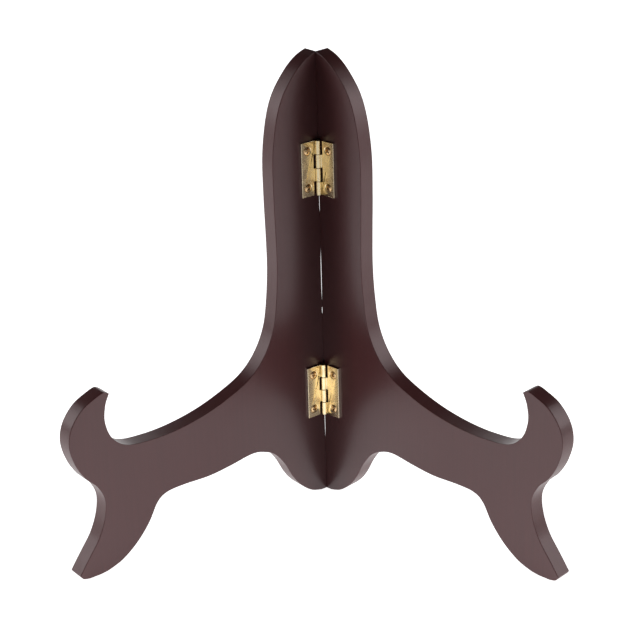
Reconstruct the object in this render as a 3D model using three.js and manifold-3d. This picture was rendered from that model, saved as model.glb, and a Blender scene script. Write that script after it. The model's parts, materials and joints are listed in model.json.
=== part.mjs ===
// Folding display stand for a plate or a picture: two mirror-image shaped boards joined by two small
// butt hinges, so that they stand open as a V and fold flat together.
// Millimetres, +Z up, +X to the right, +Y to the back. The floor is z = 0, and the origin is under the
// middle of the open stand.

import * as THREE from "three";
import { mergeVertices } from "three/addons/utils/BufferGeometryUtils.js";
import Module from "manifold-3d";

const wasm = await Module();
wasm.setup();

// ---- driving dimensions ----

const STAND_HEIGHT = 211.5;
const BOARD_THICKNESS = 8;
const ARRIS = 0.3;             // rounding of a board's long edges
const OPEN_ANGLE = 99;         // between the two inner faces, in degrees
const FOLD_GAP = 0.16;         // between the two boards' rounded edges when the stand is open

const HINGE_LENGTH = 25;
const HINGE_HEIGHTS = { upper: 159.7, lower: 52.4 };
const LEAF_REACH = 9;          // from the pin's axis to a leaf's outer edge
const LEAF_THICKNESS = 0.8;
const LEAF_SEAT_GAP = 0.2;     // between a leaf's back and the board
const BARREL_RADIUS = 1.25;
const PIN_RADIUS = 0.6;
const PIN_CLEARANCE = 0.15;
const KNUCKLES = 4;
const KNUCKLE_GAP = 0.25;
const NOTCH_GAP = 1;           // from a leaf's cut-back edge to the other leaf's barrel

const SCREW_SPACING = 17;
const SCREW_REACH = 5.4;       // from the pin's axis to a screw's axis
const SCREW_LENGTH = 5.7;
const SCREW_POINT = 1.2;
const HEAD_RADIUS = 1.7;
const HEAD_RIM = 0.1;
const HEAD_SINK = 0.3;         // from a leaf's face down to the head of its screw
const SHANK_RADIUS = 1;
const SCREW_CLEARANCE = 0.15;
const RECESS_SPAN = 2;
const RECESS_WIDTH = 0.45;
const RECESS_DEPTH = 0.6;

const CURVE_STEPS = 3;         // between two points of a board's outline
const ARRIS_STEPS = 2;
const SMALL_ROUND_SIDES = 16;

// ---- worked out from them ----

const HALF_ANGLE = THREE.MathUtils.degToRad(OPEN_ANGLE / 2);
const WING_TURN = Math.PI / 2 - HALF_ANGLE;                // each board's turn towards the front
const AXIS_TO_FACE = BARREL_RADIUS + LEAF_SEAT_GAP;        // from the pin's axis to an inner face
const AXIS_INSET = AXIS_TO_FACE / Math.tan(HALF_ANGLE);    // from the crease to the axis, along a board
const LEAF_FRONT = BARREL_RADIUS - LEAF_THICKNESS;

// The crease is where the two inner faces would meet if their edges were sharp. The rounding takes
// some of each edge away, so each board runs on past the crease until only FOLD_GAP is left.
const ROUNDED_AWAY = ARRIS * (1 - Math.SQRT1_2) * (Math.cos(WING_TURN) + Math.sin(WING_TURN));
const FOLD_EDGE = (FOLD_GAP / 2 - ROUNDED_AWAY) / Math.cos(WING_TURN);

// The board's outline as (distance from the crease, height). Each stretch runs on from the end of the
// one before it: two points are a straight, and more are a smooth curve through them.
const OUTLINE = [
  // heel flat
  [[FOLD_EDGE, 0], [3, 0]],
  // belly, down to the foot
  [
    [3, 0], [8.8, 1.8], [14.8, 6.4], [19.4, 12.3], [23.8, 20.3], [28.9, 26.7], [34.8, 30.1],
    [42, 31.5], [54, 29.7], [66, 28.4], [80, 28.7], [88.7, 28], [93.8, 24.8], [98.8, 16.5],
    [105.2, 9.2], [112.7, 3.6], [119.9, 0.8], [125, 0],
  ],
  // toe flat
  [[125, 0], [130.5, 0]],
  // toe
  [[130.5, 0], [133.6, 0.8], [135.2, 2.8]],
  // shin and the outside of the hook
  [
    [135.2, 2.8], [132.4, 6.8], [129.3, 11], [124.3, 18], [120.9, 26.5], [120.1, 35],
    [123.3, 42.2], [128.7, 48], [133.1, 55.8], [135.3, 65], [133.4, 73.3], [127.5, 80.3],
    [119.4, 84.3],
  ],
  // hook's tip
  [[119.4, 84.3], [116.6, 84.9], [114.2, 83.6]],
  // throat, arm, spine and crown
  [
    [114.2, 83.6], [116.4, 78.4], [117.1, 71], [114.2, 62.8], [107, 57.2], [94, 55.8],
    [80.5, 56.5], [65.8, 59.3], [51.8, 64.1], [41, 69.7], [33.2, 77.8], [28, 88.4], [25.7, 101],
    [24.5, 116], [24.6, 132], [25, 150], [24.8, 168], [22.4, 184], [18.5, 194.8], [11.8, 203.7],
    [5.7, 208.9], [FOLD_EDGE, STAND_HEIGHT],
  ],
];

const LEFT = { name: "left", x: -1 };
const RIGHT = { name: "right", x: 1 };

const LACQUERED_WOOD = { color: 0x55393a, roughness: 0.4, metalness: 0 };
const POLISHED_BRASS = { color: 0xc9a868, roughness: 0.3, metalness: 1 };
const STEEL_PIN = { color: 0xb9a27a, roughness: 0.4, metalness: 1 };

// ---- solids ----

// A closed geometry as a solid that can be joined and cut.
function solidFrom(geometry) {
  const bare = geometry.clone();
  bare.deleteAttribute("normal");
  bare.deleteAttribute("uv");
  const merged = mergeVertices(bare);
  return new wasm.Manifold(
    new wasm.Mesh({
      numProp: 3,
      vertProperties: new Float32Array(merged.attributes.position.array),
      triVerts: new Uint32Array(merged.index.array),
    }),
  );
}

function geometryFrom(solid) {
  const shape = solid.getMesh();
  const geometry = new THREE.BufferGeometry();
  geometry.setAttribute("position", new THREE.BufferAttribute(shape.vertProperties, 3));
  geometry.setIndex(new THREE.BufferAttribute(shape.triVerts, 1));
  geometry.computeVertexNormals();
  return geometry;
}

function meshFrom(name, solid, finish) {
  const mesh = new THREE.Mesh(geometryFrom(solid), new THREE.MeshStandardMaterial(finish));
  mesh.name = name;
  return mesh;
}

// A flat shape drawn in X and Y, raised along +Z from a start height.
function raised(shape, start, height) {
  const geometry = new THREE.ExtrudeGeometry(shape, {
    depth: height,
    bevelEnabled: false,
    curveSegments: SMALL_ROUND_SIDES,
  });
  return solidFrom(geometry.translate(0, 0, start));
}

function rectangle(x0, y0, x1, y1) {
  const shape = new THREE.Shape();
  shape.moveTo(x0, y0);
  shape.lineTo(x1, y0);
  shape.lineTo(x1, y1);
  shape.lineTo(x0, y1);
  shape.closePath();
  return shape;
}

// ---- boards ----
// Each wing's own frame has the pin's axis as its Z axis. A board stands at y = AXIS_TO_FACE and
// runs to the side of its wing.

function boardShape(side) {
  const place = ([reach, height]) => new THREE.Vector2(side.x * (reach - AXIS_INSET), height);
  const shape = new THREE.Shape();
  const start = place(OUTLINE[0][0]);
  shape.moveTo(start.x, start.y);
  for (const stretch of OUTLINE) {
    const points = stretch.slice(1).map(place);
    if (points.length > 1) {
      shape.splineThru(points);
    } else {
      shape.lineTo(points[0].x, points[0].y);
    }
  }
  shape.closePath();
  return shape;
}

function board(side) {
  const geometry = new THREE.ExtrudeGeometry(boardShape(side), {
    depth: BOARD_THICKNESS - 2 * ARRIS,
    bevelThickness: ARRIS,
    bevelSize: ARRIS,
    bevelOffset: -ARRIS,
    bevelSegments: ARRIS_STEPS,
    curveSegments: CURVE_STEPS,
  });
  // Raised along Z by the geometry, the board is stood up so that its thickness runs to the back.
  geometry.rotateX(Math.PI / 2);
  geometry.translate(0, AXIS_TO_FACE + BOARD_THICKNESS - ARRIS, 0);
  let solid = solidFrom(geometry);
  for (const [x, z] of screwPlaces(side)) {
    solid = solid.subtract(screwHole(x, z));
  }
  return meshFrom(`${side.name}_panel`, solid, LACQUERED_WOOD);
}

// ---- screws ----

function screwRows(hingeHeight) {
  return {
    top: hingeHeight + SCREW_SPACING / 2,
    bottom: hingeHeight - SCREW_SPACING / 2,
  };
}

function screwPlaces(side) {
  return Object.values(HINGE_HEIGHTS).flatMap((height) =>
    Object.values(screwRows(height)).map((z) => [side.x * SCREW_REACH, z]),
  );
}

// A turned form along the Y axis from points (radius, distance from the leaf's face into the board),
// with its middle line at the given place on the wing.
function driven(points, x, z) {
  const profile = points.map(([radius, depth]) => new THREE.Vector2(radius, depth));
  const geometry = new THREE.LatheGeometry(profile, SMALL_ROUND_SIDES);
  return solidFrom(geometry.translate(x, LEAF_FRONT, z));
}

// A countersunk screw with its cone at 45 degrees.
function screw(name, x, z) {
  const headFoot = HEAD_SINK + HEAD_RIM + HEAD_RADIUS - SHANK_RADIUS;
  const tip = HEAD_SINK + SCREW_LENGTH;
  const form = [
    [0, HEAD_SINK],
    [HEAD_RADIUS, HEAD_SINK],
    [HEAD_RADIUS, HEAD_SINK + HEAD_RIM],
    [SHANK_RADIUS, headFoot],
    [SHANK_RADIUS, tip - SCREW_POINT],
    [0, tip],
  ];
  let solid = driven(form, x, z);
  for (const turn of [0, Math.PI / 2]) {
    const slot = new THREE.BoxGeometry(RECESS_SPAN, 2 * RECESS_DEPTH, RECESS_WIDTH);
    slot.rotateY(turn).translate(x, LEAF_FRONT + HEAD_SINK, z);
    solid = solid.subtract(solidFrom(slot));
  }
  return meshFrom(name, solid, POLISHED_BRASS);
}

// The countersink in the leaf and the pilot hole in the board, as one form to cut with. Its cone lies
// SCREW_CLEARANCE outside the screw's, and it starts in front of the barrel.
function screwHole(x, z) {
  const mouth = HEAD_SINK + HEAD_RIM + HEAD_RADIUS + SCREW_CLEARANCE;
  const bore = SHANK_RADIUS + SCREW_CLEARANCE;
  const form = [
    [0, -BARREL_RADIUS],
    [mouth, -BARREL_RADIUS],
    [mouth, 0],
    [bore, mouth - bore],
    [bore, HEAD_SINK + SCREW_LENGTH + SCREW_CLEARANCE],
    [0, HEAD_SINK + SCREW_LENGTH + SCREW_CLEARANCE],
  ];
  return driven(form, x, z);
}

// ---- hinges ----

// A leaf with one of its own knuckles, seen along the pin: a flat plate whose back runs on into the
// barrel, with the pin's bore through it.
function knuckleShape() {
  const lip = Math.asin(LEAF_FRONT / BARREL_RADIUS);
  const shape = new THREE.Shape();
  shape.moveTo(LEAF_REACH, LEAF_FRONT);
  shape.lineTo(LEAF_REACH, BARREL_RADIUS);
  shape.lineTo(0, BARREL_RADIUS);
  shape.absarc(0, 0, BARREL_RADIUS, Math.PI / 2, 2 * Math.PI + lip, false);
  shape.closePath();
  const bore = new THREE.Path();
  bore.absarc(0, 0, PIN_RADIUS + PIN_CLEARANCE, 0, 2 * Math.PI, true);
  shape.holes.push(bore);
  return shape;
}

// The right-hand leaf, with its middle at z = 0. Its knuckles are every second one from the top.
function leafSolid() {
  const bottom = -HINGE_LENGTH / 2;
  const pitch = HINGE_LENGTH / KNUCKLES;
  const plate = rectangle(BARREL_RADIUS + NOTCH_GAP, LEAF_FRONT, LEAF_REACH, BARREL_RADIUS);
  let solid = raised(plate, bottom, HINGE_LENGTH);
  for (let knuckle = 0; knuckle < KNUCKLES; knuckle += 2) {
    const start = bottom + knuckle * pitch + KNUCKLE_GAP / 2;
    solid = solid.add(raised(knuckleShape(), start, pitch - KNUCKLE_GAP));
  }
  for (const z of Object.values(screwRows(0))) {
    solid = solid.subtract(screwHole(SCREW_REACH, z));
  }
  return solid;
}

// Both leaves are one pressing: turned half round about its thickness it is the left-hand leaf, and
// its knuckles fall into the right-hand leaf's notches.
function leaf(name, side, hingeHeight) {
  const mesh = meshFrom(name, leafSolid(), POLISHED_BRASS);
  mesh.rotation.y = side.x > 0 ? 0 : Math.PI;
  mesh.position.z = hingeHeight;
  return mesh;
}

function pin(name, hingeHeight) {
  const geometry = new THREE.CylinderGeometry(PIN_RADIUS, PIN_RADIUS, HINGE_LENGTH, SMALL_ROUND_SIDES);
  geometry.rotateX(Math.PI / 2).translate(0, 0, hingeHeight);
  return meshFrom(name, solidFrom(geometry), STEEL_PIN);
}

// ---- the stand ----

function wing(side) {
  const group = new THREE.Group();
  group.rotation.z = -side.x * WING_TURN;
  group.add(board(side));
  for (const [hinge, height] of Object.entries(HINGE_HEIGHTS)) {
    group.add(leaf(`${hinge}_hinge_${side.name}_leaf`, side, height));
    for (const [row, z] of Object.entries(screwRows(height))) {
      group.add(screw(`${hinge}_${side.name}_${row}_screw`, side.x * SCREW_REACH, z));
    }
  }
  return group;
}

const stand = new THREE.Group();
stand.add(wing(LEFT), wing(RIGHT));
for (const [hinge, height] of Object.entries(HINGE_HEIGHTS)) {
  stand.add(pin(`${hinge}_hinge_pin`, height));
}

// Everything above is placed about the pin's axis, so the stand is now moved over its origin.
const middle = new THREE.Box3().setFromObject(stand, true).getCenter(new THREE.Vector3());
stand.position.y = -middle.y;

export default stand;
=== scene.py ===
"""A folding plate stand: two lacquered boards on small brass butt hinges, in a plain studio.

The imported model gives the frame, the fold's axis and where each piece is. The boards, hinge leaves,
pins and screws made here stand for the plain solids of the same names. Everything is in metres, with
+X to the right, +Y to the back and +Z up, and the stand rests on z = 0.
"""

import json
import math

import bmesh
import bpy
import numpy as np
from bpy.props import FloatProperty, FloatVectorProperty, IntProperty, PointerProperty
from mathutils import Matrix, Vector


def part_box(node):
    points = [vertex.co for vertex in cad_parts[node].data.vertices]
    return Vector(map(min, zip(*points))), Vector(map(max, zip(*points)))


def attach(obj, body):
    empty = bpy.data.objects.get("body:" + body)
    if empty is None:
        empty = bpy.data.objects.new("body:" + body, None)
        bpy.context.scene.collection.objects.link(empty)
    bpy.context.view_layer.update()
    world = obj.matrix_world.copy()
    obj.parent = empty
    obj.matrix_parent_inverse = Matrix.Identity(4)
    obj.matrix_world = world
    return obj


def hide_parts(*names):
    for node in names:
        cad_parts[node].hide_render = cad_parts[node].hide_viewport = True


bl_info = {
    "name": "Folding Plate Stand",
    "version": (1, 0, 0),
    "blender": (4, 5, 0),
    "location": "3D View > Sidebar > Plate Stand",
    "description": "Makes the finished boards, hinges, pins and screws of a folding stand, and its studio",
    "category": "Object",
}

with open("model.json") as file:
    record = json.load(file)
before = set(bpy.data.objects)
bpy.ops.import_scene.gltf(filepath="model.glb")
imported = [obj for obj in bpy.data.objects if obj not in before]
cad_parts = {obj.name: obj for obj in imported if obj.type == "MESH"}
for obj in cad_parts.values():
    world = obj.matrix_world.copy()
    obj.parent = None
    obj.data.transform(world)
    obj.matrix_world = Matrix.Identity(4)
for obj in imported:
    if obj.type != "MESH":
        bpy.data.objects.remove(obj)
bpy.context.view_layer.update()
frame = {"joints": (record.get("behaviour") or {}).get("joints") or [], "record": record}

MM = 0.001
FOLD = frame["joints"][0]
AXIS_X, AXIS_Y, _ = FOLD["pos_m"]
OPEN_ANGLE = math.radians(FOLD["range_deg"][1])
WING_TURN = (math.pi - OPEN_ANGLE) / 2          # each board's turn towards the front
SIDES = {"left": -1, "right": 1}
HINGES = ("upper", "lower")
SCREW_ROWS = ("top", "bottom")
BODY_OF = {
    node: body
    for body, members in frame["record"]["behaviour"]["bodies"].items()
    for node in members
}

# The board's outline in millimetres, as (distance from the crease, height), in stretches that each run
# on from the one before. Two points are a straight and more are a smooth curve. The fold edge, along
# the crease, closes the outline from the crown down to the heel.
CROWN = 211.5
STRETCHES = (
    ((0, 0), (3, 0)),                                                                # heel flat
    ((3, 0), (8.8, 1.8), (14.8, 6.4), (19.4, 12.3), (23.8, 20.3), (28.9, 26.7), (34.8, 30.1),
     (42, 31.5), (54, 29.7), (66, 28.4), (80, 28.7), (88.7, 28), (93.8, 24.8), (98.8, 16.5),
     (105.2, 9.2), (112.7, 3.6), (119.9, 0.8), (125, 0)),                            # belly
    ((125, 0), (130.5, 0)),                                                          # toe flat
    ((130.5, 0), (133.6, 0.8), (135.2, 2.8)),                                        # toe
    ((135.2, 2.8), (132.4, 6.8), (129.3, 11), (124.3, 18), (120.9, 26.5), (120.1, 35),
     (123.3, 42.2), (128.7, 48), (133.1, 55.8), (135.3, 65), (133.4, 73.3), (127.5, 80.3),
     (119.4, 84.3)),                                                                 # shin and hook
    ((119.4, 84.3), (116.6, 84.9), (114.2, 83.6)),                                   # hook's tip
    ((114.2, 83.6), (116.4, 78.4), (117.1, 71), (114.2, 62.8), (107, 57.2), (94, 55.8),
     (80.5, 56.5), (65.8, 59.3), (51.8, 64.1), (41, 69.7), (33.2, 77.8), (28, 88.4), (25.7, 101),
     (24.5, 116), (24.6, 132), (25, 150), (24.8, 168), (22.4, 184), (18.5, 194.8),
     (11.8, 203.7), (5.7, 208.9), (0, CROWN)),                                       # arm and spine
)
CURVE_STEPS = 40

# Where the two fold edges don't quite meet: (height, half the length, share of the full depth) of each
# hollow, with the first two in millimetres.
FOLD_HOLLOWS = ((143, 4, 0.7), (108.4, 10.5, 1), (91.2, 1.5, 0.9), (35.1, 7.2, 0.8))

SHARP_EDGE = math.radians(32)       # faces that meet at more than this show an edge
SHARP_CORNER = math.radians(20)     # and an outline that turns by more than this has a corner

# Fine sizes, in metres, and how finely the small rounds are divided. A guard is the narrow flat band
# between a rounding and its big face.
BOARD_GUARD = 0.15 * MM
PLATE_EDGE = 0.12 * MM              # rounding of a leaf's plate
PLATE_GUARD = 0.05 * MM
PLATE_CORNER = 0.22 * MM            # rounding of the plate's corners, seen from the front
KNUCKLE_EDGE = 0.09 * MM
KNUCKLE_GUARD = 0.03 * MM
CURL_POINTS = 56
CURL_SLIT = 0.11 * MM               # from the curled strip's end to the plate's face
BORE_CLEARANCE = 0.04 * MM
BORE_BEVEL = 0.12 * MM
OVERRUN = 1 * MM                    # how far a cutter stands out of what it cuts
THROAT_RADIUS = 1.15 * MM           # of a screw's hole, below its countersink
SEAT_CLEARANCE = 0.2 * MM           # from a screw's head to its countersink
PIN_SHORTFALL = 0.02 * MM           # from a pin's end to the barrel's
SCREW_SIDES = 96
HEAD_RINGS = 38
THREAD_RINGS = 72
HEAD_RIM = 0.08 * MM
SHANK_RADIUS = 1.0 * MM
SCREW_POINT = 1.6 * MM              # the length over which the thread tapers away

# The studio, in metres.
SOFT_BOX_OUT = 1.15
SOFT_BOX_HEIGHT = 0.6
SOFT_BOX_SIZE = 0.9
STAND_MIDDLE = (0, 0, 0.08)


# ---- settings ----


class BoardSettings(bpy.types.PropertyGroup):
    thickness: FloatProperty(
        name="Thickness", description="Board thickness", default=8 * MM, unit="LENGTH"
    )
    arris: FloatProperty(
        name="Arris", description="Radius of the rounded long edges", default=0.3 * MM, unit="LENGTH"
    )
    spacing: FloatProperty(
        name="Spacing", description="Distance between points of the outline", default=0.5 * MM,
        unit="LENGTH",
    )
    fold_gap: FloatProperty(
        name="Fold gap",
        description="Between the two fold edges where they are closest, below 0 where they overlap",
        default=-0.02 * MM, unit="LENGTH",
    )
    hollow: FloatProperty(
        name="Hollow", description="Depth of the hollows in each fold edge", default=0.12 * MM,
        unit="LENGTH",
    )
    lacquer: FloatVectorProperty(
        name="Lacquer", description="Colour of the lacquer", default=(0.062, 0.0105, 0.0110),
        subtype="COLOR", min=0, max=1,
    )
    rubbed: FloatVectorProperty(
        name="Rubbed", description="Colour where the lacquer is thin along the edges",
        default=(0.070, 0.024, 0.022), subtype="COLOR", min=0, max=1,
    )
    roughness: FloatProperty(
        name="Roughness", description="Roughness of the lacquer", default=0.30, min=0, max=1
    )


class HingeSettings(bpy.types.PropertyGroup):
    length: FloatProperty(
        name="Length", description="Length of a hinge along its pin", default=25 * MM, unit="LENGTH"
    )
    reach: FloatProperty(
        name="Reach", description="From the pin's axis to a leaf's outer edge", default=8.7 * MM,
        unit="LENGTH",
    )
    leaf_thickness: FloatProperty(
        name="Leaf thickness", description="Thickness of a leaf", default=1.0 * MM, unit="LENGTH"
    )
    axis_height: FloatProperty(
        name="Axis height", description="From a board's inner face to the pin's axis",
        default=1.45 * MM, unit="LENGTH",
    )
    barrel_radius: FloatProperty(
        name="Barrel radius", description="Outer radius of the knuckles", default=1.25 * MM,
        unit="LENGTH",
    )
    pin_radius: FloatProperty(
        name="Pin radius", description="Radius of the pin", default=0.6 * MM, unit="LENGTH"
    )
    knuckles: IntProperty(
        name="Knuckles", description="Knuckles of both leaves together", default=4, min=2
    )
    knuckle_gap: FloatProperty(
        name="Knuckle gap", description="Gap between two knuckles", default=0.22 * MM, unit="LENGTH"
    )
    notch_gap: FloatProperty(
        name="Notch gap", description="From a leaf's cut-back edge to the other leaf's barrel",
        default=0.9 * MM, unit="LENGTH",
    )
    brass: FloatVectorProperty(
        name="Brass", description="Colour of the polished brass", default=(0.97, 0.81, 0.51),
        subtype="COLOR", min=0, max=1,
    )
    tarnish: FloatVectorProperty(
        name="Tarnish", description="Colour of the brass where it has dulled",
        default=(0.82, 0.62, 0.34), subtype="COLOR", min=0, max=1,
    )
    roughness: FloatProperty(
        name="Roughness", description="Roughness of the polished brass", default=0.20, min=0, max=1
    )


class ScrewSettings(bpy.types.PropertyGroup):
    spacing: FloatProperty(
        name="Spacing", description="Between the two screws of a leaf", default=17 * MM, unit="LENGTH"
    )
    reach: FloatProperty(
        name="Reach", description="From the pin's axis to a screw's axis", default=5.4 * MM,
        unit="LENGTH",
    )
    head_radius: FloatProperty(
        name="Head radius", description="Radius of the countersunk head", default=1.75 * MM,
        unit="LENGTH",
    )
    sink: FloatProperty(
        name="Sink", description="From a leaf's face down to the head's rim", default=0.1 * MM,
        unit="LENGTH",
    )
    dome: FloatProperty(
        name="Dome", description="Height of the head's middle over its rim", default=0.36 * MM,
        unit="LENGTH",
    )
    length: FloatProperty(
        name="Length", description="Length of a screw", default=5.7 * MM, unit="LENGTH"
    )
    recess: FloatProperty(
        name="Recess", description="Depth of the cross recess", default=0.75 * MM, unit="LENGTH"
    )
    pitch: FloatProperty(
        name="Pitch", description="Distance between two threads", default=0.8 * MM, unit="LENGTH"
    )
    brass: FloatVectorProperty(
        name="Brass", description="Colour of the screws' plainer brass", default=(0.72, 0.50, 0.27),
        subtype="COLOR", min=0, max=1,
    )
    seed: IntProperty(
        name="Seed", description="Seed for how far round each screw has been driven", default=4
    )


class StudioSettings(bpy.types.PropertyGroup):
    floor: FloatProperty(
        name="Floor", description="Side of the floor", default=8.0, unit="LENGTH"
    )
    sweep_start: FloatProperty(
        name="Sweep start", description="How far back the floor starts to curve up", default=1.4,
        unit="LENGTH",
    )
    sweep_radius: FloatProperty(
        name="Sweep radius", description="Radius of the floor's upward curve", default=0.3,
        unit="LENGTH",
    )
    sweep_height: FloatProperty(
        name="Sweep height", description="Height of the low wall at the back", default=0.7,
        unit="LENGTH",
    )
    camera_place: FloatVectorProperty(
        name="Camera place", description="Where the camera stands", default=(0.0410, -0.7054, 0.3927),
        subtype="TRANSLATION", unit="LENGTH",
    )
    yaw: FloatProperty(
        name="Yaw", description="Camera's turn from straight ahead, to the right",
        default=math.radians(-3.23), subtype="ANGLE",
    )
    pitch: FloatProperty(
        name="Pitch", description="Camera's tilt downwards", default=math.radians(22.29),
        subtype="ANGLE",
    )
    roll: FloatProperty(
        name="Roll", description="Camera's turn about its own line of sight",
        default=math.radians(-1.50), subtype="ANGLE",
    )
    lens: FloatProperty(
        name="Lens", description="Focal length on a 36 mm wide sensor, in millimetres", default=99.25
    )
    glow: FloatProperty(
        name="Glow", description="Brightness of the floor, which is lit from below", default=1.0, min=0
    )
    sky: FloatProperty(
        name="Sky", description="Brightness of the studio's walls and ceiling", default=0.04, min=0
    )
    left_fill: FloatProperty(
        name="Left fill", description="Power of the left soft box, in watts", default=7.6, min=0
    )
    right_fill: FloatProperty(
        name="Right fill", description="Power of the right soft box, in watts", default=7.5, min=0
    )


# ---- shader writing ----


class Value:
    """A shader socket that numbers and other sockets can be added to, multiplied by and so on."""

    def __init__(self, finish, socket):
        self.finish = finish
        self.socket = socket

    def _maths(self, operation, first, second):
        return self.finish.node("ShaderNodeMath", {"operation": operation}, {0: first, 1: second})

    def __add__(self, other):
        return self._maths("ADD", self, other)

    def __sub__(self, other):
        return self._maths("SUBTRACT", self, other)

    def __rsub__(self, other):
        return self._maths("SUBTRACT", other, self)

    def __mul__(self, other):
        return self._maths("MULTIPLY", self, other)

    def __abs__(self):
        return self.finish.node("ShaderNodeMath", {"operation": "ABSOLUTE"}, {0: self})

    __radd__ = __add__
    __rmul__ = __mul__


class Finish:
    """A material being written: a Principled shader and the nodes that feed it."""

    def __init__(self, name):
        self.material = bpy.data.materials.new(name)
        self.material.use_nodes = True
        self.tree = self.material.node_tree
        self.shader = self.tree.nodes["Principled BSDF"]

    def node(self, kind, settings=None, inputs=None, output=0):
        """Adds a node, with its settings made first, and returns one of its outputs as a Value."""
        node = self.tree.nodes.new(kind)
        for name, value in (settings or {}).items():
            setattr(node, name, value)
        for name, value in (inputs or {}).items():
            self.feed(node.inputs[name], value)
        return Value(self, node.outputs[output])

    def feed(self, socket, value):
        """Links a Value to a socket, or sets the socket to a plain number or colour."""
        if isinstance(value, Value):
            self.tree.links.new(value.socket, socket)
        else:
            socket.default_value = value

    def set(self, **inputs):
        """Feeds the shader's own sockets, named with underscores for spaces."""
        for name, value in inputs.items():
            self.feed(self.shader.inputs[name.replace("_", " ")], value)

    def mapped(self, vector, rotation=(0, 0, 0), scale=(1, 1, 1)):
        return self.node(
            "ShaderNodeMapping", None, {"Vector": vector, "Rotation": rotation, "Scale": scale}
        )

    def noise(self, vector, scale, detail=2.0, roughness=0.5):
        return self.node(
            "ShaderNodeTexNoise",
            None,
            {"Vector": vector, "Scale": scale, "Detail": detail, "Roughness": roughness},
        )

    def ramp(self, value, low, high):
        """A smooth 0 to 1 as value goes from low to high."""
        return self.node(
            "ShaderNodeMapRange",
            {"interpolation_type": "SMOOTHSTEP"},
            {"Value": value, "From Min": low, "From Max": high},
        )

    def mix(self, factor, first, second):
        """A colour between two colours."""
        return self.node(
            "ShaderNodeMix", {"data_type": "RGBA"}, {0: factor, 6: first, 7: second}, output=2
        )

    def bump(self, height, distance, below=None):
        """A normal from a height of 0 to 1 that stands for that distance."""
        inputs = {"Height": height, "Distance": distance}
        if below is not None:
            inputs["Normal"] = below
        return self.node("ShaderNodeBump", None, inputs)

    def axis(self, name):
        """One of the object's own coordinates."""
        place = self.node("ShaderNodeTexCoord", output="Object")
        return self.node("ShaderNodeSeparateXYZ", None, {"Vector": place}, output=name)

    def attribute(self, name):
        return self.node("ShaderNodeAttribute", {"attribute_name": name}, output="Fac")

    def object_place(self, side):
        """Object coordinates turned so that X runs along a board, Y through it and Z up."""
        place = self.node("ShaderNodeTexCoord", output="Object")
        return self.mapped(place, rotation=(0, 0, side * WING_TURN))


def opaque(colour, strength=1.0):
    """A colour made darker or lighter, with its alpha."""
    return tuple(strength * part for part in colour) + (1.0,)


def lacquered_wood(name, side, settings):
    """Satin lacquer over close-grained wood. Its colour drifts slowly and is darkened along the fold by
    painted shade, the grain shows as faint long streaks and filled pores, and the lacquer is thinner along
    the edges."""
    finish = Finish(name)
    place = finish.object_place(side)
    drift = finish.noise(place, 16, 3)
    streaks = finish.noise(finish.mapped(place, scale=(620, 620, 22)), 1, 4, 0.6)
    pores = finish.noise(finish.mapped(place, scale=(2300, 2300, 150)), 1, 2)
    peel = finish.noise(place, 900, 2)
    cloud = finish.noise(place, 70, 4, 0.65)
    edge = finish.attribute("arris") * finish.ramp(cloud, 0.38, 0.66)
    strip = finish.attribute("strip")
    out = abs(finish.axis("X"))
    # painted shade: the base colour darkens towards the crease, where the other board would shade it
    painted_crease_shade = 1 - finish.ramp(out, 1.5 * MM, 17 * MM)
    ends = finish.noise(finish.mapped(place, scale=(70, 1900, 70)), 1, 4, 0.7)

    deep = finish.mix(drift, opaque(settings.lacquer, 0.86), opaque(settings.lacquer, 1.16))
    grained = finish.mix(
        finish.ramp(streaks, 0.35, 0.75) * 0.30, deep, opaque(settings.lacquer, 0.72)
    )
    mottled = finish.mix(
        strip * finish.ramp(ends, 0.42, 0.72) * 0.35, grained, opaque(settings.rubbed, 0.95)
    )
    worn = finish.mix(edge * 0.4, mottled, opaque(settings.rubbed))
    finish.set(
        # the base colour falls to 0.62 of the lacquer near the crease as painted shade
        Base_Color=finish.mix(painted_crease_shade, worn, opaque(settings.lacquer, 0.62)),
        Roughness=settings.roughness - 0.03 + 0.07 * cloud + 0.07 * strip + 0.08 * edge,
        Normal=finish.bump(
            finish.ramp(pores, 0.58, 0.80) + 0.6 * strip * ends,
            0.000012,
            finish.bump(peel + 0.5 * streaks, 0.000022),
        ),
        Coat_Weight=0.22 - 0.18 * strip,
        Coat_Roughness=0.18,
        IOR=1.5,
        Specular_IOR_Level=0.58,
        Specular_Tint=(1.0, 0.87, 0.89, 1.0),
    )
    return finish.material


def polished_brass(name, side, settings, colour, brushed=1.0):
    """Polished brass, finely brushed along the pin, dulled and browner in patches. The plate's edge faces
    are painted pale as a painted highlight.
    """
    finish = Finish(name)
    place = finish.object_place(side)
    lines = finish.noise(finish.mapped(place, scale=(9000, 9000, 160)), 1, 3, 0.6)
    patches = finish.noise(place, 260, 4, 0.6)
    specks = finish.noise(place, 2600, 2)
    worn = finish.attribute("arris")
    # painted highlight: the strip attribute marks the plate's edge faces, which are painted pale as if
    # catching bright light
    end = finish.attribute("strip")
    dull = finish.ramp(patches, 0.45, 0.78) * (1 - 0.7 * worn) * (1 - end)

    tinted = finish.mix(dull * 0.45, opaque(colour), opaque(settings.tarnish))
    finish.set(
        Base_Color=finish.mix(
            end,
            finish.mix(finish.ramp(specks, 0.62, 0.8) * 0.4, tinted, opaque(settings.tarnish, 0.7)),
            # the pale colour of the painted highlight on the plate's edge faces
            (1, 0.92, 0.76, 1),
        ),
        Roughness=settings.roughness + 0.14 * dull + 0.08 * lines * brushed - 0.06 * worn,
        Normal=finish.bump(
            lines * brushed, 0.0000012, finish.bump(finish.noise(place, 700, 2), 0.0000035)
        ),
        Metallic=1.0,
    )
    return finish.material


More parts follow.
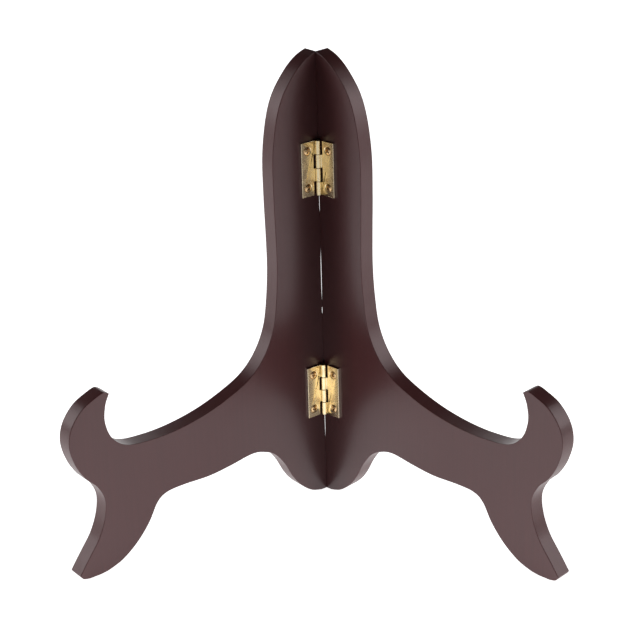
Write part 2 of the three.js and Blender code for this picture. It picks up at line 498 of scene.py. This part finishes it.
def studio_floor(name, glow):
    """A matt white table with the faintest unevenness. It is lit from below in a band that runs from
    under the stand to the back. It fades out to both sides, and to the front sooner further out."""
    finish = Finish(name)
    place = finish.node("ShaderNodeTexCoord", output="Object")
    out = abs(finish.axis("X"))
    lit = (1 - finish.ramp(out, 0.38, 0.8)) * finish.ramp(finish.axis("Y") - 0.35 * out, -0.36, -0.15)
    finish.set(
        Base_Color=finish.mix(finish.noise(place, 3, 2), (0.93, 0.93, 0.93, 1), (0.95, 0.95, 0.95, 1)),
        Roughness=0.9,
        Specular_IOR_Level=0.1,
        Emission_Color=finish.mix(lit, (0.3, 0.3, 0.3, 1), (1, 1, 1, 1)),
        Emission_Strength=glow,
    )
    return finish.material


# ---- meshes ----


def ring_quads(rows, columns):
    """Quads of a grid whose rows are closed rings: each point is joined to the next one round and to
    the row after."""
    index = np.arange(rows * columns).reshape(rows, columns)
    following = np.roll(index, -1, axis=1)
    return np.stack([index[:-1], following[:-1], following[1:], index[1:]], axis=-1).reshape(-1, 4)


def mesh_of_rings(name, rings, capped, **attributes):
    """A closed surface through rings of points, given as an array (ring, point, xyz). Its first and
    last rings are filled by flat faces if it is capped, and otherwise are poles. Each attribute has
    one number for each ring."""
    rows, columns, _ = rings.shape
    faces = ring_quads(rows, columns).tolist()
    if capped:
        faces.append(list(range(columns))[::-1])
        faces.append(list(range((rows - 1) * columns, rows * columns)))
    mesh = bpy.data.meshes.new(name)
    mesh.from_pydata(rings.reshape(-1, 3), [], faces)
    for key, by_ring in attributes.items():
        layer = mesh.attributes.new(key, "FLOAT", "POINT")
        layer.data.foreach_set("value", np.repeat(np.asarray(by_ring, np.float32), columns))
    clean(mesh)
    return mesh


def clean(mesh, merge=2e-7):
    """Merges doubled points, turns the faces outwards and shades smoothly except at sharp edges."""
    work = bmesh.new()
    work.from_mesh(mesh)
    bmesh.ops.remove_doubles(work, verts=work.verts, dist=merge)
    bmesh.ops.dissolve_degenerate(work, edges=work.edges, dist=merge)
    bmesh.ops.recalc_face_normals(work, faces=work.faces)
    work.to_mesh(mesh)
    work.free()
    mesh.shade_smooth()
    mesh.set_sharp_from_angle(angle=SHARP_EDGE)


def add_piece(name, mesh, material, node):
    """Links the finished mesh as the piece that stands for a CAD node and moves with its body."""
    mesh.materials.clear()
    mesh.materials.append(material)
    piece = bpy.data.objects.new(name, mesh)
    bpy.context.scene.collection.objects.link(piece)
    weighted = piece.modifiers.new("weighted_normals", "WEIGHTED_NORMAL")
    weighted.keep_sharp = True
    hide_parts(node)
    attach(piece, BODY_OF[node])
    return piece


def combined(mesh, tools, operation):
    """Joins the tools to a mesh, or cuts them out of it, one after another. The work is done a
    thousand times larger, so that small gaps stay well above the solver's rounding."""
    enlarge = Matrix.Scale(1 / MM, 4)
    scene = bpy.context.scene.collection
    body = bpy.data.objects.new("work", mesh)
    scene.objects.link(body)
    mesh.transform(enlarge)
    helpers = []
    for number, tool in enumerate(tools):
        tool.transform(enlarge)
        helper = bpy.data.objects.new(f"tool_{number}", tool)
        scene.objects.link(helper)
        helpers.append(helper)
        change = body.modifiers.new(f"step_{number}", "BOOLEAN")
        change.operation = operation
        change.solver = "MANIFOLD"
        change.object = helper
    evaluated = body.evaluated_get(bpy.context.evaluated_depsgraph_get())
    result = bpy.data.meshes.new_from_object(evaluated)
    for thing in (body, *helpers):
        bpy.data.objects.remove(thing)
    result.transform(Matrix.Scale(MM, 4))
    return result


def put_on_wing(mesh, side, height=0.0):
    """Moves a mesh from its wing's own frame to the stand's. In the wing's frame the pin is the Z axis,
    X runs along the board and Y to its back. The caller first mirrors a left board, or turns a left
    leaf over, so that X runs the other way."""
    place = Matrix.Translation((AXIS_X, AXIS_Y, height)) @ Matrix.Rotation(-side * WING_TURN, 4, "Z")
    mesh.transform(place)
    clean(mesh)


# ---- flat shapes with rounded edges ----


def along(points, steps):
    """A smooth curve through the points: between two of them it is the cubic whose slopes are half
    the steps from each point's neighbours, with the end points doubled."""
    points = np.asarray(points, float)
    if len(points) == 2:
        return points[:1]
    padded = np.vstack([points[:1], points, points[-1:]])
    before, start, end, after = (padded[i : len(padded) - 3 + i] for i in range(4))
    t = np.linspace(0, 1, steps, endpoint=False)[None, :, None]
    start_slope = (end - before)[:, None] / 2
    end_slope = (after - start)[:, None] / 2
    start, end = start[:, None], end[:, None]
    curve = (
        (2 * start - 2 * end + start_slope + end_slope) * t**3
        + (-3 * start + 3 * end - 2 * start_slope - end_slope) * t**2
        + start_slope * t
        + start
    )
    return curve.reshape(-1, 2)


def spaced(loop, spacing):
    """The same closed outline with its points evenly spaced between its sharp corners, which stay."""
    ahead = np.roll(loop, -1, axis=0) - loop
    behind = loop - np.roll(loop, 1, axis=0)
    turn = np.abs(np.arctan2(
        behind[:, 0] * ahead[:, 1] - behind[:, 1] * ahead[:, 0], (behind * ahead).sum(1)
    ))
    corners = np.flatnonzero(turn > SHARP_CORNER)
    loop = np.roll(loop, -corners[0], axis=0)
    corners = np.append(corners - corners[0], len(loop))
    loop = np.vstack([loop, loop[:1]])
    parts = []
    for first, last in zip(corners[:-1], corners[1:]):
        part = loop[first : last + 1]
        length = np.append(0, np.cumsum(np.linalg.norm(np.diff(part, axis=0), axis=1)))
        steps = max(1, round(length[-1] / spacing))
        stations = np.linspace(0, length[-1], steps, endpoint=False)
        parts.append(np.column_stack([np.interp(stations, length, part[:, i]) for i in (0, 1)]))
    return np.vstack(parts)


def inward(loop):
    """At each point of an outline that runs anticlockwise, the step inwards that moves both its
    neighbouring sides in by one."""
    ahead = np.roll(loop, -1, axis=0) - loop
    ahead /= np.linalg.norm(ahead, axis=1)[:, None]
    behind = np.roll(ahead, 1, axis=0)
    normal = np.column_stack([-ahead[:, 1] - behind[:, 1], ahead[:, 0] + behind[:, 0]])
    return 2 * normal / (normal**2).sum(1)[:, None]


def distance_to(loop, points):
    """From each point to the nearest place on the closed outline."""
    step = np.roll(loop, -1, axis=0) - loop
    offset = points[:, None] - loop[None]
    share = np.clip((offset * step).sum(2) / (step**2).sum(1), 0, 1)
    return np.sqrt(((offset - share[..., None] * step) ** 2).sum(2)).min(1)


def inset(loop, steps, distance, slack):
    """The outline moved in by a distance. A point that would come out nearer than that to any part of
    the outline, as beside a sharp corner, is spread between its neighbours that don't."""
    if distance == 0:
        return loop
    moved = loop + steps * distance
    good = np.flatnonzero(distance_to(loop, moved) > distance - slack)
    index = np.arange(len(loop))
    return np.column_stack(
        [np.interp(index, good, moved[good, axis], period=len(loop)) for axis in (0, 1)]
    )


def rounded_slab(name, loop, low, high, radius, guard, arc_steps=5, across=1):
    """A flat shape with rounded edges. Each ring is the outline moved in by r - r sin(a) and standing
    r - r cos(a) inside a face, as a goes from 0 to a quarter turn, and a narrow guard ring keeps the
    big flat face's shading flat. The outline lies in X and Z, and the slab runs from low to high
    in Y. The attributes are arris, strongest half way round the rounding, and strip, 1 between
    the two roundings."""
    angle = np.linspace(0, math.pi / 2, arc_steps)
    ins = np.append(radius + guard, radius * (1 - np.sin(angle)))
    depth = np.append(0, radius * (1 - np.cos(angle)))
    arris = np.append(0, np.sin(2 * angle))
    strip = np.append(0, np.sin(angle) ** 4)
    between = np.linspace(radius, high - low - radius, across + 1)[1:-1]
    ins = np.concatenate([ins, 0 * between, ins[::-1]])
    depth = np.concatenate([depth, between, high - low - depth[::-1]])
    arris = np.concatenate([arris, 0 * between, arris[::-1]])
    strip = np.concatenate([strip, 0 * between + 1, strip[::-1]])
    steps = inward(loop)
    flat = np.stack([inset(loop, steps, distance, 0.01 * MM) for distance in ins])
    level = np.broadcast_to((low + depth)[:, None], flat.shape[:2])
    rings = np.stack([flat[..., 0], level, flat[..., 1]], axis=-1)
    return mesh_of_rings(name, rings, capped=True, arris=arris, strip=strip)


def softened(corners, radius, steps=4):
    """A polygon whose corners are rounded: each is a short parabola that starts and ends one radius
    from the corner."""
    corners = np.asarray(corners, float)
    back = np.roll(corners, 1, axis=0) - corners
    on = np.roll(corners, -1, axis=0) - corners
    start = corners + radius * back / np.linalg.norm(back, axis=1)[:, None]
    end = corners + radius * on / np.linalg.norm(on, axis=1)[:, None]
    t = np.linspace(0, 1, steps)[None, :, None]
    curve = (1 - t) ** 2 * start[:, None] + 2 * t * (1 - t) * corners[:, None] + t**2 * end[:, None]
    return curve.reshape(-1, 2)


def turned(name, profile, sides, centre=(0, 0, 0), along_y=True, **attributes):
    """A profile of (radius, distance along the axis) carried round that axis, which is Y or Z."""
    profile = np.asarray(profile, float)
    around = np.linspace(0, 2 * math.pi, sides, endpoint=False)
    radius, axial = profile[:, :1], np.repeat(profile[:, 1:], sides, axis=1)
    first, second = radius * np.cos(around), radius * np.sin(around)
    order = (first, axial, second) if along_y else (first, second, axial)
    rings = np.stack(order, axis=-1) + np.asarray(centre)
    return mesh_of_rings(name, rings, capped=False, **attributes)


# ---- boards ----


def board_outline(settings):
    """The outline in metres, anticlockwise, with the fold edge let in a little at its hollows."""
    curve = np.vstack([along(stretch, CURVE_STEPS) for stretch in STRETCHES])
    loop = spaced(np.vstack([curve, [[0, CROWN]]]) * MM, settings.spacing)
    cosine, sine = math.cos(WING_TURN), math.sin(WING_TURN)
    rounded_away = settings.arris * (cosine + sine - 1)
    edge = (settings.fold_gap / 2 - rounded_away) / cosine
    for height, half, share in FOLD_HOLLOWS:
        shape = np.exp(-(((loop[:, 1] / MM - height) / half) ** 4))
        edge = edge + share * settings.hollow * shape
    loop[:, 0] += np.where(loop[:, 0] < 0.001 * MM, edge, 0)
    return loop


def make_boards(settings, hinge):
    crease_to_axis = hinge.axis_height * math.tan(WING_TURN)
    for name, side in SIDES.items():
        loop = board_outline(settings)
        loop[:, 0] -= crease_to_axis
        mesh = rounded_slab(
            f"{name}_board",
            loop,
            hinge.axis_height,
            hinge.axis_height + settings.thickness,
            settings.arris,
            BOARD_GUARD,
            arc_steps=7,
            across=5,
        )
        mesh.transform(Matrix.Diagonal((side, 1, 1, 1)))
        put_on_wing(mesh, side)
        material = lacquered_wood(f"{name}_lacquer", side, settings)
        add_piece(f"{name}_board", mesh, material, f"{name}_panel")


# ---- hinges ----


def hinge_middle(hinge):
    low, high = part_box(f"{hinge}_hinge_pin")
    return (low.z + high.z) / 2


def knuckle_spans(settings):
    """(bottom, top) of each of a leaf's own knuckles, with the leaf's middle at 0. The end one is
    flush with the leaf, and half the gap to a neighbour is taken off each other end."""
    bottom = -settings.length / 2
    pitch = settings.length / settings.knuckles
    for number in range(0, settings.knuckles, 2):
        start = bottom + number * pitch + (settings.knuckle_gap / 2 if number else 0)
        yield start, bottom + (number + 1) * pitch - settings.knuckle_gap / 2


def leaf_outline(settings):
    """The right-hand leaf seen from the front, cut back beside the other leaf's knuckles."""
    half = settings.length / 2
    notch = settings.barrel_radius + settings.notch_gap
    corners = [(settings.reach, -half), (settings.reach, half), (notch, half)]
    for low, high in reversed(list(knuckle_spans(settings))):
        corners += [(notch, high), (0, high), (0, low), (notch, low)]
    flush = corners.index((notch, -half))
    return corners[:flush]


def curl_outline(settings, plate_front):
    """A knuckle seen along the pin: the strip goes round the barrel from its back and ends just short
    of the plate's face, with a narrow slit between. Behind the slit it runs into the plate."""
    radius = settings.barrel_radius
    end = math.asin((plate_front - CURL_SLIT) / radius)
    around = np.linspace(math.pi / 2, 2 * math.pi + end, CURL_POINTS)
    curve = np.column_stack([radius * np.cos(around), radius * np.sin(around)])
    slit_end = 0.72 * radius
    web = 0.4 * radius              # where the knuckle's section closes, inside the plate
    slit = [
        (slit_end * math.cos(end), slit_end * math.sin(end)),
        (slit_end * math.cos(end), plate_front + 0.1 * MM),
        (web, plate_front + 0.3 * MM),
        (web, 0.9 * radius),
    ]
    return np.vstack([curve, slit])


def bore_profile(settings):
    """A straight bore with a small bevel at each end of the barrel."""
    radius = settings.pin_radius + BORE_CLEARANCE
    half = settings.length / 2
    flare = radius + BORE_BEVEL + OVERRUN
    return [
        (0, -half - OVERRUN),
        (flare, -half - OVERRUN),
        (radius, -half + BORE_BEVEL),
        (radius, half - BORE_BEVEL),
        (flare, half + OVERRUN),
        (0, half + OVERRUN),
    ]


def leaf_mesh(name, settings, screws):
    """The right-hand leaf with its middle at the origin: the plate and its knuckles joined, then the
    pin's bore and the two countersunk holes cut out."""
    front = settings.axis_height - settings.leaf_thickness
    back = settings.axis_height - 0.01 * MM
    outline = softened(leaf_outline(settings), PLATE_CORNER)
    plate = rounded_slab(name, outline, front, back, PLATE_EDGE, PLATE_GUARD)
    section = curl_outline(settings, front)[::-1]
    knuckles = []
    for low, high in knuckle_spans(settings):
        knuckle = rounded_slab("knuckle", section, low, high, KNUCKLE_EDGE, KNUCKLE_GUARD)
        # The section was laid in X and Z with its length in Y: swap them.
        knuckle.transform(Matrix(((1, 0, 0, 0), (0, 0, 1, 0), (0, 1, 0, 0), (0, 0, 0, 1))))
        clean(knuckle)
        knuckle.attributes.remove(knuckle.attributes["strip"])
        knuckles.append(knuckle)
    joined = combined(plate, knuckles, "UNION")
    mouth = screws.head_radius + screws.sink + SEAT_CLEARANCE
    cutters = [turned("bore", bore_profile(settings), 48, along_y=False)]
    for z in (-screws.spacing / 2, screws.spacing / 2):
        profile = [
            (0, front - OVERRUN),
            (mouth, front - OVERRUN),
            (mouth, front),
            (THROAT_RADIUS, front + mouth - THROAT_RADIUS),
            (THROAT_RADIUS, back + OVERRUN),
            (0, back + OVERRUN),
        ]
        cutters.append(turned("countersink", profile, 72, centre=(screws.reach, 0, z)))
    return combined(joined, cutters, "DIFFERENCE")


def make_leaves(settings, screws):
    for name, side in SIDES.items():
        material = polished_brass(f"{name}_leaf_brass", side, settings, settings.brass)
        for hinge in HINGES:
            piece = f"{hinge}_{name}_leaf"
            mesh = leaf_mesh(piece, settings, screws)
            if side < 0:
                mesh.transform(Matrix.Rotation(math.pi, 4, "Y"))
            put_on_wing(mesh, side, hinge_middle(hinge))
            add_piece(piece, mesh, material, f"{hinge}_hinge_{name}_leaf")


def make_pins(settings):
    """A drawn wire with its two ends riveted into low domes."""
    half = settings.length / 2 - PIN_SHORTFALL
    radius = settings.pin_radius
    angle = np.linspace(0, math.pi / 2, 7)
    dome = 0.25 * radius
    end = np.column_stack([radius * np.sin(angle), -half + dome * (1 - np.cos(angle))])
    profile = np.vstack([end, end[::-1] * (1, -1)])
    material = polished_brass("pin_brass", 1, settings, settings.tarnish, brushed=0.4)
    for hinge in HINGES:
        mesh = turned(f"{hinge}_pin", profile, 40, along_y=False)
        put_on_wing(mesh, 1, hinge_middle(hinge))
        add_piece(f"{hinge}_pin", mesh, material, f"{hinge}_hinge_pin")


# ---- screws ----


def recess_depth(x, z, settings, turn):
    """How deep the cross recess is at a place on the head: the deeper of two blades at right angles,
    each with steep sides and a floor that rises towards its ends."""
    cosine, sine = math.cos(turn), math.sin(turn)
    along_blade = np.stack([x * cosine + z * sine, z * cosine - x * sine])
    across_blade = np.abs(along_blade[::-1])
    reach = 0.62 * settings.head_radius
    half_width = 0.15 * settings.head_radius
    wall_run = 0.05 * MM
    wall = np.clip((half_width - across_blade) / wall_run + 0.5, 0, 1)
    floor = np.clip(1.15 - (np.abs(along_blade) / reach) ** 2, 0, 1)
    return settings.recess * (wall * floor).max(0)


def stacked(sides, *stretches):
    """Stretches of rings one after another, each spread over all the sides."""
    return np.vstack([np.broadcast_to(stretch, (len(stretch), sides)) for stretch in stretches])


def screw_mesh(name, settings, head_height, turn):
    """One surface over (station, angle): out over the head with its cross recess, round the rim, down
    the cone, and along the shank, whose radius rises to a crest once every pitch and turn, and
    tapers away to the point."""
    sides = SCREW_SIDES
    around = np.linspace(0, 2 * math.pi, sides, endpoint=False)[None, :]
    head, rim, shank = settings.head_radius, HEAD_RIM, SHANK_RADIUS
    cone_end = rim + head - shank

    top_radius = np.linspace(0, head - rim / 2, HEAD_RINGS)[:, None]
    x, z = top_radius * np.cos(around), top_radius * np.sin(around)
    crown = settings.dome * (top_radius / head) ** 2
    top_depth = recess_depth(x, z, settings, turn) + crown

    side_radius = np.array([head, head, (head + shank) / 2, shank])[:, None]
    side_depth = np.array([1.4 * rim, 1.9 * rim, rim + cone_end / 2, 1.3 * rim + cone_end])[:, None]
    side_depth += settings.dome

    depth = np.linspace(settings.dome + 1.6 * rim + cone_end, settings.length, THREAD_RINGS)[:, None]
    phase = (depth / settings.pitch - around / (2 * math.pi)) % 1
    crest = 1 - np.abs(2 * phase - 1)
    taper = np.clip((settings.length - depth) / SCREW_POINT, 0, 1) ** 0.7
    shank_radius = (0.70 * shank + 0.30 * shank * crest**1.5) * taper

    radii = stacked(sides, top_radius, side_radius, shank_radius)
    depths = stacked(sides, top_depth, side_depth, depth)
    rings = np.stack(
        [radii * np.cos(around), head_height + depths, radii * np.sin(around)], axis=-1
    )
    rubbed = np.zeros(len(rings))
    rubbed[len(top_radius) - 2 : len(top_radius) + 1] = 1
    return mesh_of_rings(name, rings, capped=False, arris=rubbed)


def make_screws(settings, hinge_settings):
    rng = np.random.default_rng(settings.seed)
    leaf_face = hinge_settings.axis_height - hinge_settings.leaf_thickness
    head_height = leaf_face + settings.sink - settings.dome
    for name, side in SIDES.items():
        material = polished_brass(
            f"{name}_screw_brass", side, hinge_settings, settings.brass, brushed=0.3
        )
        for hinge in HINGES:
            for row, sign in zip(SCREW_ROWS, (1, -1)):
                piece = f"{hinge}_{name}_{row}_screw"
                mesh = screw_mesh(f"{piece}_form", settings, head_height, rng.uniform(0, math.pi / 2))
                mesh.transform(
                    Matrix.Translation((side * settings.reach, 0, sign * settings.spacing / 2))
                )
                put_on_wing(mesh, side, hinge_middle(hinge))
                add_piece(f"{piece}_threaded", mesh, material, piece)


# ---- studio ----


def soft_box(name, place, target, size, power):
    """A square area light aimed at a point."""
    light = bpy.data.lights.new(name, "AREA")
    light.shape = "SQUARE"
    light.size = size
    light.energy = power
    lamp = bpy.data.objects.new(name, light)
    lamp.location = place
    lamp.rotation_euler = (Vector(target) - Vector(place)).to_track_quat("-Z", "Y").to_euler()
    bpy.context.scene.collection.objects.link(lamp)


def make_floor(settings):
    """A flat floor that sweeps up at the back: a quarter of a circle, then a low wall."""
    half = settings.floor / 2
    angle = np.linspace(0, math.pi / 2, 13)
    radius = settings.sweep_radius
    curve = np.column_stack(
        [settings.sweep_start + radius * np.sin(angle), radius * (1 - np.cos(angle))]
    )
    profile = np.vstack([[-half, 0], curve, [curve[-1, 0], settings.sweep_height]])
    rows = np.stack([np.column_stack([np.full(len(profile), x), profile]) for x in (-half, half)])
    index = np.arange(rows[..., 0].size).reshape(2, -1)
    faces = np.stack([index[0, :-1], index[1, :-1], index[1, 1:], index[0, 1:]], axis=-1)
    mesh = bpy.data.meshes.new("floor")
    mesh.from_pydata(rows.reshape(-1, 3), [], faces.tolist())
    mesh.shade_smooth()
    mesh.materials.append(studio_floor("light_table", settings.glow))
    floor = bpy.data.objects.new("floor", mesh)
    bpy.context.scene.collection.objects.link(floor)


def make_camera(settings):
    """The camera looks along yaw and pitch, and is then rolled about that line."""
    yaw, pitch, roll = settings.yaw, settings.pitch, settings.roll
    ahead = Vector(
        (math.sin(yaw) * math.cos(pitch), math.cos(yaw) * math.cos(pitch), -math.sin(pitch))
    )
    level = Vector((math.cos(yaw), -math.sin(yaw), 0))
    upright = level.cross(ahead)
    right = math.cos(roll) * level + math.sin(roll) * upright
    up = math.cos(roll) * upright - math.sin(roll) * level
    turn = Matrix((right, up, -ahead)).transposed()
    lens = bpy.data.cameras.new("camera")
    lens.lens = settings.lens
    lens.sensor_width = 36
    lens.clip_end = 50
    camera = bpy.data.objects.new("camera", lens)
    camera.matrix_world = Matrix.Translation(settings.camera_place) @ turn.to_4x4()
    bpy.context.scene.collection.objects.link(camera)
    bpy.context.scene.camera = camera


def make_studio(settings):
    make_floor(settings)
    make_camera(settings)
    scene = bpy.context.scene
    scene.view_settings.view_transform = "Standard"
    world = bpy.data.worlds.new("studio")
    world.use_nodes = True
    background = world.node_tree.nodes["Background"]
    background.inputs["Color"].default_value = (1, 1, 1, 1)
    background.inputs["Strength"].default_value = settings.sky
    scene.world = world
    for name, side in SIDES.items():
        place = (side * SOFT_BOX_OUT, 0, SOFT_BOX_HEIGHT)
        power = getattr(settings, f"{name}_fill")
        soft_box(f"{name}_fill", place, STAND_MIDDLE, SOFT_BOX_SIZE, power)


# ---- operators ----


class STAND_OT_boards(bpy.types.Operator):
    """Make both lacquered boards"""

    bl_idname = "stand.boards"
    bl_label = "Boards"

    def execute(self, context):
        make_boards(context.scene.stand_boards, context.scene.stand_hinges)
        return {"FINISHED"}


class STAND_OT_leaves(bpy.types.Operator):
    """Make the four brass hinge leaves"""

    bl_idname = "stand.leaves"
    bl_label = "Hinge leaves"

    def execute(self, context):
        make_leaves(context.scene.stand_hinges, context.scene.stand_screws)
        return {"FINISHED"}


class STAND_OT_pins(bpy.types.Operator):
    """Make the two hinge pins"""

    bl_idname = "stand.pins"
    bl_label = "Hinge pins"

    def execute(self, context):
        make_pins(context.scene.stand_hinges)
        return {"FINISHED"}


class STAND_OT_screws(bpy.types.Operator):
    """Make the eight countersunk screws"""

    bl_idname = "stand.screws"
    bl_label = "Screws"

    def execute(self, context):
        make_screws(context.scene.stand_screws, context.scene.stand_hinges)
        return {"FINISHED"}


class STAND_OT_studio(bpy.types.Operator):
    """Make the floor, the lights and the camera"""

    bl_idname = "stand.studio"
    bl_label = "Studio"

    def execute(self, context):
        make_studio(context.scene.stand_studio)
        return {"FINISHED"}


class STAND_PT_panel(bpy.types.Panel):
    """Lists what can be made, with its settings"""

    bl_idname = "STAND_PT_panel"
    bl_label = "Plate Stand"
    bl_space_type = "VIEW_3D"
    bl_region_type = "UI"
    bl_category = "Plate Stand"

    def draw(self, context):
        for operator, group in SECTIONS:
            box = self.layout.box()
            box.operator(operator)
            if group:
                settings = getattr(context.scene, group)
                for name in settings.bl_rna.properties.keys():
                    if name not in ("rna_type", "name"):
                        box.prop(settings, name)


SECTIONS = (
    ("stand.boards", "stand_boards"),
    ("stand.leaves", "stand_hinges"),
    ("stand.pins", None),
    ("stand.screws", "stand_screws"),
    ("stand.studio", "stand_studio"),
)
GROUPS = {
    "stand_boards": BoardSettings,
    "stand_hinges": HingeSettings,
    "stand_screws": ScrewSettings,
    "stand_studio": StudioSettings,
}
CLASSES = (
    *GROUPS.values(),
    STAND_OT_boards,
    STAND_OT_leaves,
    STAND_OT_pins,
    STAND_OT_screws,
    STAND_OT_studio,
    STAND_PT_panel,
)


def register():
    for cls in CLASSES:
        bpy.utils.register_class(cls)
    for name, group in GROUPS.items():
        setattr(bpy.types.Scene, name, PointerProperty(type=group))


def unregister():
    for name in GROUPS:
        delattr(bpy.types.Scene, name)
    for cls in reversed(CLASSES):
        bpy.utils.unregister_class(cls)


def main():
    register()
    bpy.ops.stand.boards()
    bpy.ops.stand.leaves()
    bpy.ops.stand.pins()
    bpy.ops.stand.screws()
    bpy.ops.stand.studio()


if __name__ == "__main__":
    main()
